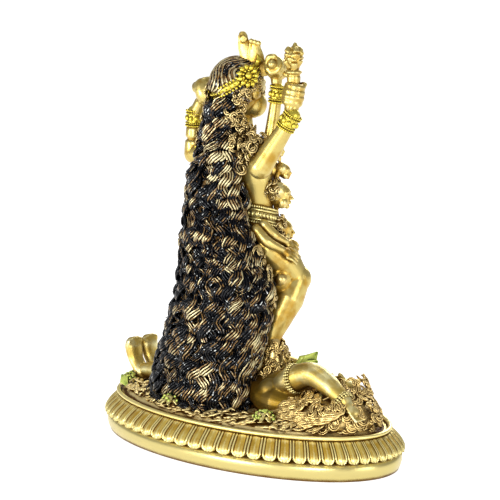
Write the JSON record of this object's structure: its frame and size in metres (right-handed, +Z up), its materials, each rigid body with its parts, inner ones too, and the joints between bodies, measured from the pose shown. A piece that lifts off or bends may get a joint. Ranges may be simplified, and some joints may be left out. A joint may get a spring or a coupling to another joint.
{
  "type": "kali figure",
  "caption": "Standing figure of a four-armed goddess on a lying man, cast in one with an oval lotus-petal plinth.",
  "frame": {"origin": "middle of the plinth's underside", "axes": "+Z up, +X along the plinth towards the lying man's feet, the goddess looks along -Y"},
  "size_m": [0.1416, 0.0776, 0.1549],
  "materials": {
    "antique_gold": "antique gold paint with a brown wash in the recesses",
    "bright_gold": "bright yellow gold paint on the crown and the bracelets",
    "black_hair": "satin black paint, rubbed with gold and brown on the raised locks",
    "leaf_green": "touches of green paint on the flowers and leaves"
  },
  "bodies": {
    "root": {"kali_figure": "antique_gold"}
  },
  "joints": []
}
